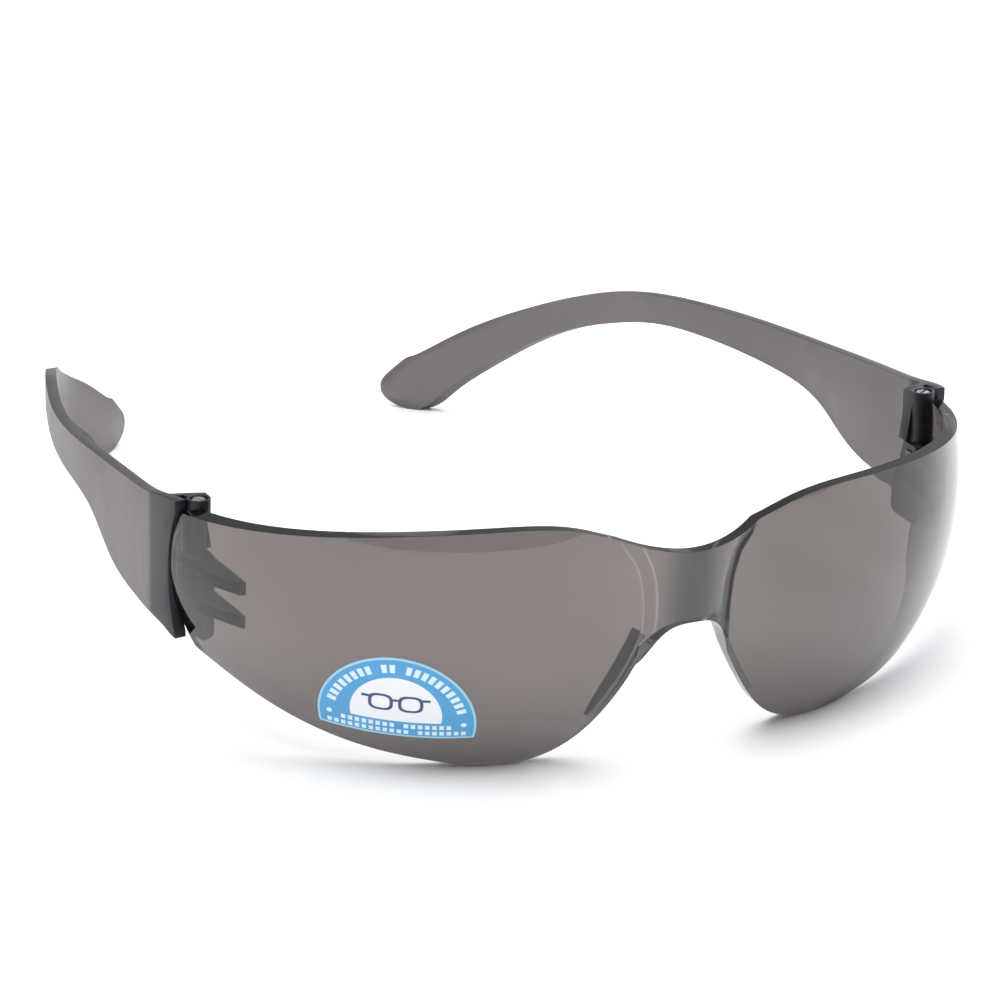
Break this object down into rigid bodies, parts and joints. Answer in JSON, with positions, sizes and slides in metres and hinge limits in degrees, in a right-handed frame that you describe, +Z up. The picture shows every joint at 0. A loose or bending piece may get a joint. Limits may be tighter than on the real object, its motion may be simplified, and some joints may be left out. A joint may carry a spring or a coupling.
{
  "type": "safety glasses",
  "caption": "Frameless wraparound safety glasses: one-piece tinted lens with moulded bridge and nose fins, and side arms that fold on hinge screws.",
  "frame": {"origin": "on the surface the open glasses stand on, under the middle of their whole box", "axes": "-Y is where the wearer looks, +X is the wearer's left, +Z is up; the arms run back along +Y"},
  "size_m": [0.138, 0.1718, 0.042],
  "materials": {
    "lens_polycarbonate": "clear polished polycarbonate with a neutral brown-grey tint and a hard coat",
    "temple_polycarbonate": "smoke-tinted polycarbonate with a fine matt texture",
    "hinge_plastic": "dark blue-grey moulding, satin",
    "label_film": "printed adhesive film, semi-gloss",
    "screw_steel": "bright machined steel",
    "insert_brass": "turned brass"
  },
  "bodies": {
    "front": {"lens": "lens_polycarbonate", "lens_label": "label_film", "hinge_bracket_left": "hinge_plastic", "hinge_bracket_right": "hinge_plastic", "thread_insert_left": "insert_brass", "thread_insert_right": "insert_brass", "hinge_screw_left": "screw_steel", "hinge_screw_right": "screw_steel"},
    "left_arm": {"temple_left": "temple_polycarbonate"},
    "right_arm": {"temple_right": "temple_polycarbonate"}
  },
  "joints": [
    {"name": "temple_fold_left", "type": "hinge", "parent": "front", "child": "left_arm", "pos_m": [0.0644, -0.04095, 0.03], "axis": [0, 0, 1], "range_deg": [0, 76]},
    {"name": "temple_fold_right", "type": "hinge", "parent": "front", "child": "right_arm", "pos_m": [-0.0644, -0.04095, 0.03], "axis": [0, 0, -1], "range_deg": [0, 60]}
  ]
}
